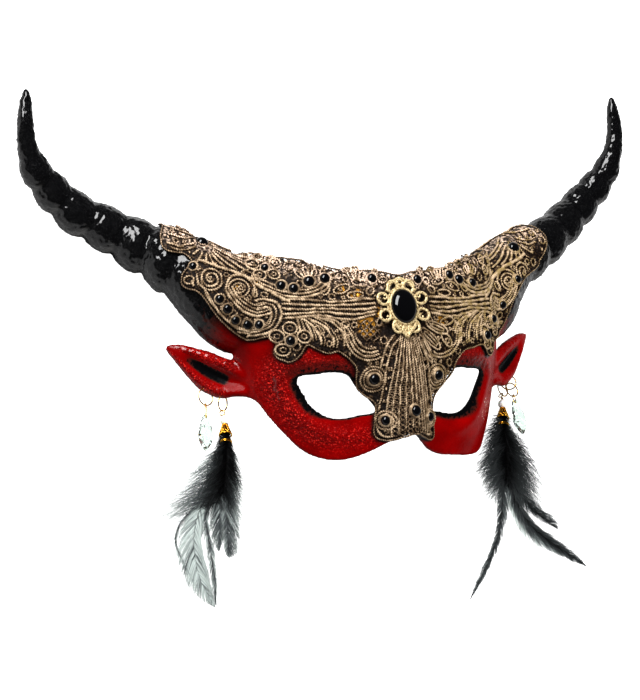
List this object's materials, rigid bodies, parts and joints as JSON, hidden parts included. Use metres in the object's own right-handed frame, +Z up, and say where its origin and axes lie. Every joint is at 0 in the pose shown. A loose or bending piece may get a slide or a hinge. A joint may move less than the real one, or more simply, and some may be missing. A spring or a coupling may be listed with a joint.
{
  "type": "devil mask",
  "caption": "Devil half mask for the upper face: hollow shell with ribbed horns, pointed ears, lace overlay set with small stones, a brow stone in its setting, and feather earrings.",
  "frame": {"origin": "middle of the bounding box, on the level that the lying mask rests on", "axes": "+X to the viewer's right across both horns, +Y from the nose to the brow and horns, +Z up out of the face"},
  "size_m": [0.3644, 0.276, 0.0664],
  "materials": {
    "red_lacquer": "gloss varnish",
    "bronze_lace": "dry metallic paint",
    "black_stone": "polished",
    "filigree": "pale gold plate",
    "gold_wire": "polished gold plate",
    "clear_crystal": "cut and polished",
    "pearl": "pearl",
    "feather": "dyed feather"
  },
  "bodies": {
    "root": {"mask_body": "red_lacquer", "lace_overlay": "bronze_lace", "gem_1": "black_stone", "gem_2": "black_stone", "gem_3": "black_stone", "gem_4": "black_stone", "gem_5": "black_stone", "gem_6": "black_stone", "gem_7": "black_stone", "gem_8": "black_stone", "gem_9": "black_stone", "gem_10": "black_stone", "gem_11": "black_stone", "gem_12": "black_stone", "gem_13": "black_stone", "gem_14": "black_stone", "gem_15": "black_stone", "gem_16": "black_stone", "gem_17": "black_stone", "gem_18": "black_stone", "gem_19": "black_stone", "gem_20": "black_stone", "gem_21": "black_stone", "gem_22": "black_stone", "gem_23": "black_stone", "gem_24": "black_stone", "gem_25": "black_stone", "gem_26": "black_stone", "gem_27": "black_stone", "gem_28": "black_stone", "brow_stone": "black_stone", "stone_setting": "filigree", "hoop_left_outer": "gold_wire", "hoop_left_inner": "gold_wire", "hoop_right_ear": "gold_wire", "hoop_right_outer": "gold_wire", "hoop_right_inner": "gold_wire", "bail_left": "gold_wire", "crystal_left": "clear_crystal", "hanger_left": "gold_wire", "pearl_left": "pearl", "cap_left": "gold_wire", "band_left": "gold_wire", "feathers_left": "feather", "bail_right": "gold_wire", "crystal_right": "clear_crystal", "hanger_right": "gold_wire", "pearl_right": "pearl", "cap_right": "gold_wire", "band_right": "gold_wire", "feathers_right": "feather"}
  },
  "joints": []
}
